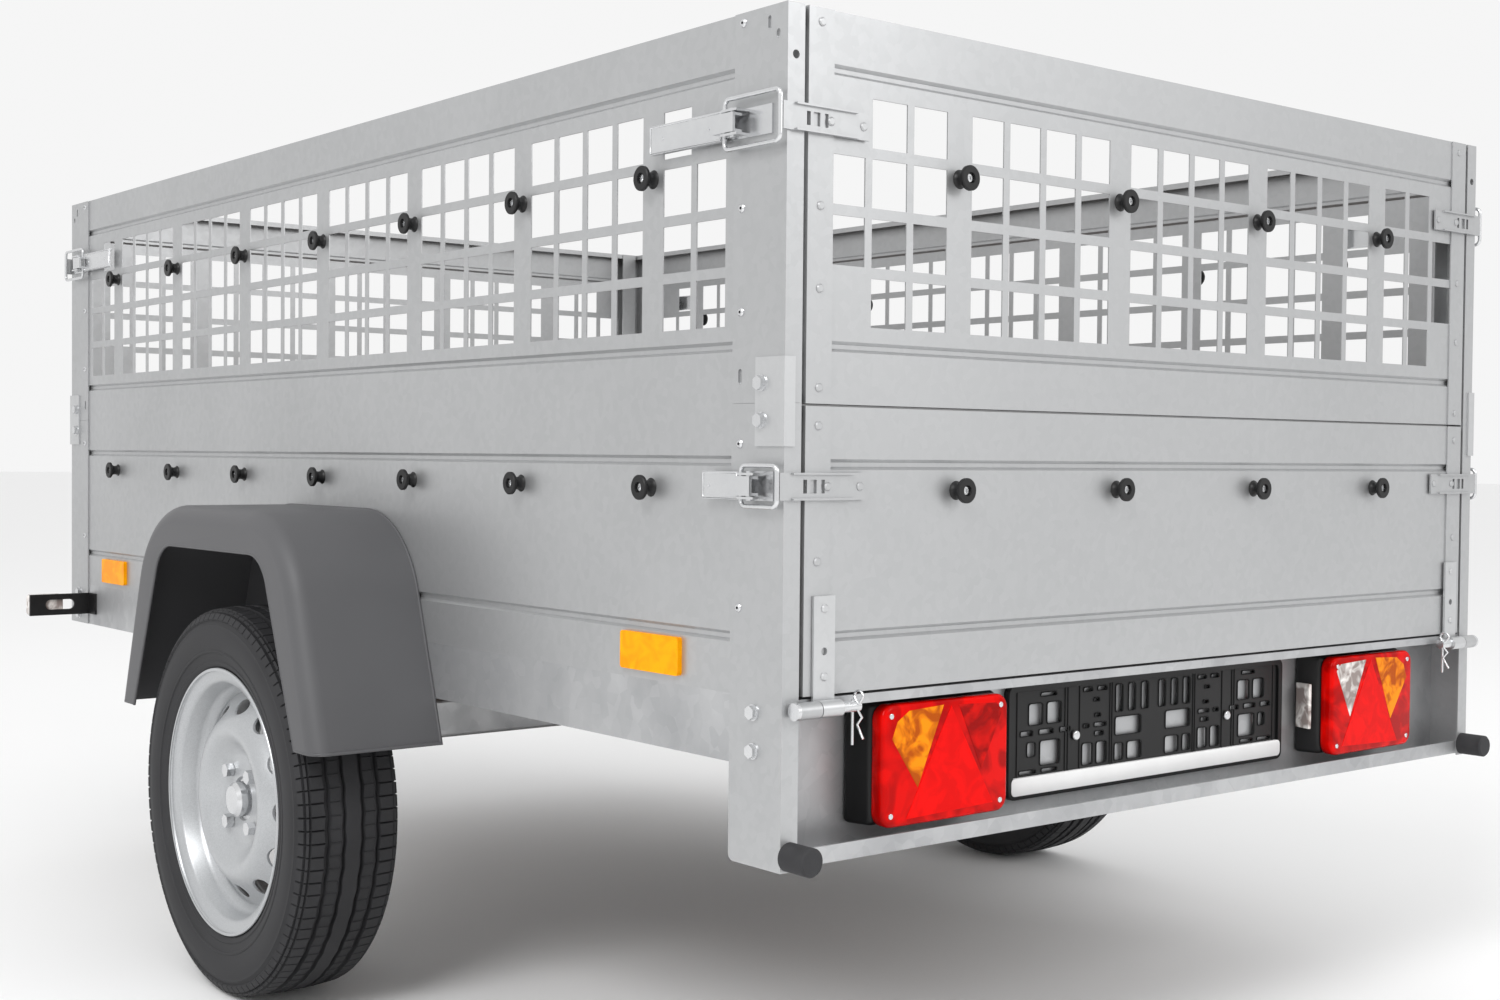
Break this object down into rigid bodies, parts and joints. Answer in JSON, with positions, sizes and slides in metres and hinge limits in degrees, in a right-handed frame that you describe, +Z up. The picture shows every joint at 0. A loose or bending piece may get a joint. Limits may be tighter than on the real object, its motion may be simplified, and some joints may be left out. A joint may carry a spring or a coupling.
{
  "type": "utility trailer",
  "caption": "Single-axle box trailer with galvanised drop walls, mesh side extensions, hinged tailgate, toggle latches and ball coupling",
  "frame": {"origin": "centre of the bounding box on the ground, between the wheels' contact height and the prop foot", "axes": "+X to the trailer's right, +Y forward towards the coupling, +Z up"},
  "size_m": [1.66, 3.058, 1.2035],
  "materials": {
    "amber_lens": "reflector prisms",
    "black_plastic": "moulded, satin",
    "buffer_rubber": "matt rubber",
    "galvanised_frame": "hot-dip galvanised, matt spangle",
    "galvanised_sheet": "hot-dip galvanised, satin",
    "mudguard_plastic": "moulded, grained",
    "plywood": "film-faced birch plywood",
    "red_lens": "clear moulded, prismatic",
    "tyre_rubber": "matt rubber",
    "wheel_paint": "silver enamel",
    "white_lens": "clear moulded",
    "zinc_fittings": "bright zinc plate"
  },
  "bodies": {
    "chassis": {"axle_beam": "galvanised_frame", "axle_brackets": "galvanised_frame", "body_rivets": "zinc_fittings", "corner_posts": "galvanised_sheet", "coupling_body": "zinc_fittings", "cross_members": "galvanised_frame", "drawbar": "galvanised_frame", "floor_board": "plywood", "frame_bolts": "zinc_fittings", "front_wall": "galvanised_sheet", "hinge_knuckles": "galvanised_sheet", "hinge_pins": "zinc_fittings", "joining_brackets": "zinc_fittings", "latch_bases": "zinc_fittings", "lower_side_panels": "galvanised_sheet", "marker_arms": "black_plastic", "marker_lamps": "white_lens", "mesh_side_panels": "galvanised_sheet", "mudguards": "mudguard_plastic", "plate_holder": "black_plastic", "prop_clamp": "zinc_fittings", "rear_beam": "galvanised_frame", "rear_lamp_housings": "black_plastic", "rear_lamp_lenses": "red_lens", "rubber_buffers": "buffer_rubber", "side_rails": "galvanised_frame", "side_reflectors": "amber_lens", "side_tarp_hooks": "black_plastic"},
    "tailgate": {"tailgate_panel": "galvanised_sheet", "tailgate_edge_fittings": "galvanised_sheet", "tailgate_hinge_straps": "zinc_fittings", "tailgate_hooks": "black_plastic"},
    "rear_mesh_gate": {"rear_mesh_panel": "galvanised_sheet", "rear_mesh_edge_fittings": "galvanised_sheet", "rear_mesh_hooks": "black_plastic"},
    "front_mesh_gate": {"front_mesh_panel": "galvanised_sheet", "front_mesh_edge_fittings": "galvanised_sheet"},
    "left_arm": {"swing_arm_left": "galvanised_frame"},
    "right_arm": {"swing_arm_right": "galvanised_frame"},
    "left_wheel": {"tyre_left": "tyre_rubber", "rim_left": "wheel_paint", "hub_left": "zinc_fittings"},
    "right_wheel": {"tyre_right": "tyre_rubber", "rim_right": "wheel_paint", "hub_right": "zinc_fittings"},
    "coupling_lever": {"coupling_lever": "zinc_fittings"},
    "prop_leg": {"prop_leg": "zinc_fittings"},
    "prop_screw": {"prop_screw": "zinc_fittings"},
    "rear_upper_left_handle": {"latch_handle_rear_upper_left": "zinc_fittings"},
    "rear_upper_left_bail": {"latch_bail_rear_upper_left": "zinc_fittings"},
    "rear_upper_right_handle": {"latch_handle_rear_upper_right": "zinc_fittings"},
    "rear_upper_right_bail": {"latch_bail_rear_upper_right": "zinc_fittings"},
    "front_upper_left_handle": {"latch_handle_front_upper_left": "zinc_fittings"},
    "front_upper_left_bail": {"latch_bail_front_upper_left": "zinc_fittings"},
    "front_upper_right_handle": {"latch_handle_front_upper_right": "zinc_fittings"},
    "front_upper_right_bail": {"latch_bail_front_upper_right": "zinc_fittings"},
    "rear_lower_left_handle": {"latch_handle_rear_lower_left": "zinc_fittings"},
    "rear_lower_left_bail": {"latch_bail_rear_lower_left": "zinc_fittings"},
    "rear_lower_right_handle": {"latch_handle_rear_lower_right": "zinc_fittings"},
    "rear_lower_right_bail": {"latch_bail_rear_lower_right": "zinc_fittings"}
  },
  "joints": [
    {"name": "tailgate_hinge", "type": "hinge", "parent": "chassis", "child": "tailgate", "pos_m": [0, -1.5035, 0.49], "axis": [1, 0, 0], "range_deg": [0, 175]},
    {"name": "rear_mesh_lift", "type": "slide", "parent": "chassis", "child": "rear_mesh_gate", "axis": [0, 0, 1], "range_m": [0, 0.42]},
    {"name": "front_mesh_lift", "type": "slide", "parent": "chassis", "child": "front_mesh_gate", "axis": [0, 0, 1], "range_m": [0, 0.42]},
    {"name": "left_suspension", "type": "hinge", "parent": "chassis", "child": "left_arm", "pos_m": [-0.664, -0.3765, 0.3375], "axis": [-1, 0, 0], "range_deg": [-8, 20], "stiffness_Nm_per_rad": 1500, "springref_deg": -3.62},
    {"name": "left_wheel_spin", "type": "hinge", "parent": "left_arm", "child": "left_wheel", "pos_m": [-0.7505, -0.4965, 0.267], "axis": [1, 0, 0], "continuous": true},
    {"name": "right_suspension", "type": "hinge", "parent": "chassis", "child": "right_arm", "pos_m": [0.664, -0.3765, 0.3375], "axis": [-1, 0, 0], "range_deg": [-8, 20], "stiffness_Nm_per_rad": 1500, "springref_deg": -3.62},
    {"name": "right_wheel_spin", "type": "hinge", "parent": "right_arm", "child": "right_wheel", "pos_m": [0.7505, -0.4965, 0.267], "axis": [1, 0, 0], "continuous": true},
    {"name": "coupling_lever_lift", "type": "hinge", "parent": "chassis", "child": "coupling_lever", "pos_m": [0, 1.4658, 0.442], "axis": [-1, 0, 0], "range_deg": [0, 45]},
    {"name": "prop_leg_slide", "type": "slide", "parent": "chassis", "child": "prop_leg", "axis": [0, 0, 1], "range_m": [0, 0.25]},
    {"name": "prop_screw_turn", "type": "hinge", "parent": "chassis", "child": "prop_screw", "pos_m": [-0.0943, 1.029, 0.3975], "axis": [-1, 0, 0], "continuous": true},
    {"name": "rear_upper_left_handle_turn", "type": "hinge", "parent": "chassis", "child": "rear_upper_left_handle", "pos_m": [-0.6645, -1.422, 1.089], "axis": [0, 0, 1], "range_deg": [0, 120]},
    {"name": "rear_upper_left_bail_turn", "type": "hinge", "parent": "rear_upper_left_handle", "child": "rear_upper_left_bail", "pos_m": [-0.6604, -1.404, 1.089], "axis": [0, 0, 1], "range_deg": [-150, 0]},
    {"name": "rear_upper_right_handle_turn", "type": "hinge", "parent": "chassis", "child": "rear_upper_right_handle", "pos_m": [0.6645, -1.422, 1.089], "axis": [0, 0, -1], "range_deg": [0, 120]},
    {"name": "rear_upper_right_bail_turn", "type": "hinge", "parent": "rear_upper_right_handle", "child": "rear_upper_right_bail", "pos_m": [0.6604, -1.404, 1.089], "axis": [0, 0, -1], "range_deg": [-150, 0]},
    {"name": "front_upper_left_handle_turn", "type": "hinge", "parent": "chassis", "child": "front_upper_left_handle", "pos_m": [-0.6645, 0.509, 1.089], "axis": [0, 0, -1], "range_deg": [0, 120]},
    {"name": "front_upper_left_bail_turn", "type": "hinge", "parent": "front_upper_left_handle", "child": "front_upper_left_bail", "pos_m": [-0.6604, 0.491, 1.089], "axis": [0, 0, -1], "range_deg": [-150, 0]},
    {"name": "front_upper_right_handle_turn", "type": "hinge", "parent": "chassis", "child": "front_upper_right_handle", "pos_m": [0.6645, 0.509, 1.089], "axis": [0, 0, 1], "range_deg": [0, 120]},
    {"name": "front_upper_right_bail_turn", "type": "hinge", "parent": "front_upper_right_handle", "child": "front_upper_right_bail", "pos_m": [0.6604, 0.491, 1.089], "axis": [0, 0, 1], "range_deg": [-150, 0]},
    {"name": "rear_lower_left_handle_turn", "type": "hinge", "parent": "chassis", "child": "rear_lower_left_handle", "pos_m": [-0.6645, -1.454, 0.717], "axis": [0, 0, 1], "range_deg": [0, 120]},
    {"name": "rear_lower_left_bail_turn", "type": "hinge", "parent": "rear_lower_left_handle", "child": "rear_lower_left_bail", "pos_m": [-0.6604, -1.436, 0.717], "axis": [0, 0, 1], "range_deg": [-150, 0]},
    {"name": "rear_lower_right_handle_turn", "type": "hinge", "parent": "chassis", "child": "rear_lower_right_handle", "pos_m": [0.6645, -1.454, 0.717], "axis": [0, 0, -1], "range_deg": [0, 120]},
    {"name": "rear_lower_right_bail_turn", "type": "hinge", "parent": "rear_lower_right_handle", "child": "rear_lower_right_bail", "pos_m": [0.6604, -1.436, 0.717], "axis": [0, 0, -1], "range_deg": [-150, 0]}
  ],
  "couplings": [
    {"joint": "rear_upper_left_bail_turn", "follows": "rear_upper_left_handle_turn", "ratio": -1.2},
    {"joint": "rear_upper_right_bail_turn", "follows": "rear_upper_right_handle_turn", "ratio": -1.2},
    {"joint": "front_upper_left_bail_turn", "follows": "front_upper_left_handle_turn", "ratio": -1.2},
    {"joint": "front_upper_right_bail_turn", "follows": "front_upper_right_handle_turn", "ratio": -1.2},
    {"joint": "rear_lower_left_bail_turn", "follows": "rear_lower_left_handle_turn", "ratio": -1.2},
    {"joint": "rear_lower_right_bail_turn", "follows": "rear_lower_right_handle_turn", "ratio": -1.2}
  ]
}
